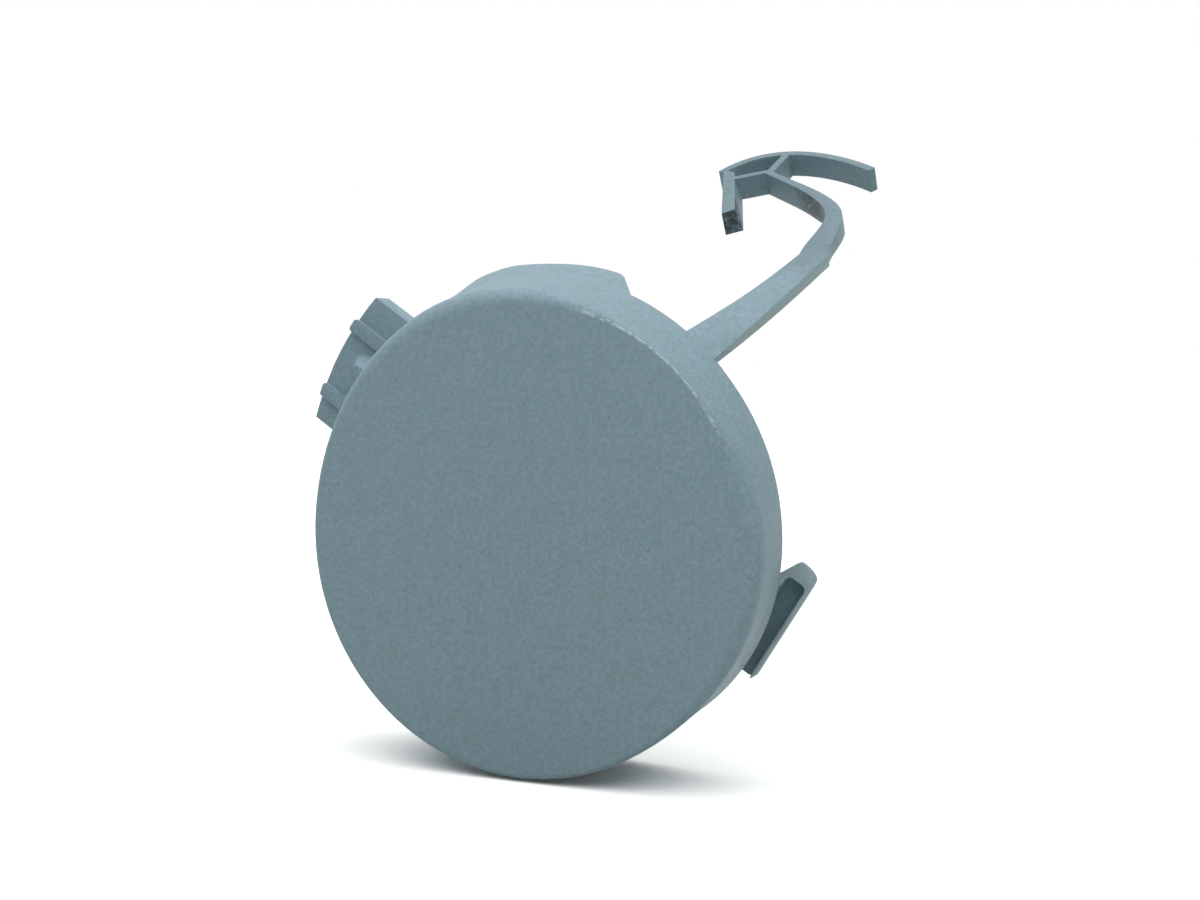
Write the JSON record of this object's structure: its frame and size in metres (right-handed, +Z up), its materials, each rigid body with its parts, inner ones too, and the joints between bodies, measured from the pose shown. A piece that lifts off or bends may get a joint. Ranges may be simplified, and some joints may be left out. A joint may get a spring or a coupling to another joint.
{
  "type": "bumper tow hook cover",
  "caption": "Round slanted cap that closes a bumper's towing-eye opening, with a hook flange, a snap tab and a strap that ends in an anchor.",
  "frame": {"origin": "centre of the round outer face, on its surface", "axes": "+Y into the bumper, square to the outer face; +Z up as fitted; +X to the right of someone who looks at the face"},
  "size_m": [0.0836, 0.0634, 0.0971],
  "materials": {
    "moulding": "unpainted moulded plastic with a fine even grain, light scuffs along the face's edge"
  },
  "bodies": {
    "root": {"tow_hook_cover": "moulding"}
  },
  "joints": []
}
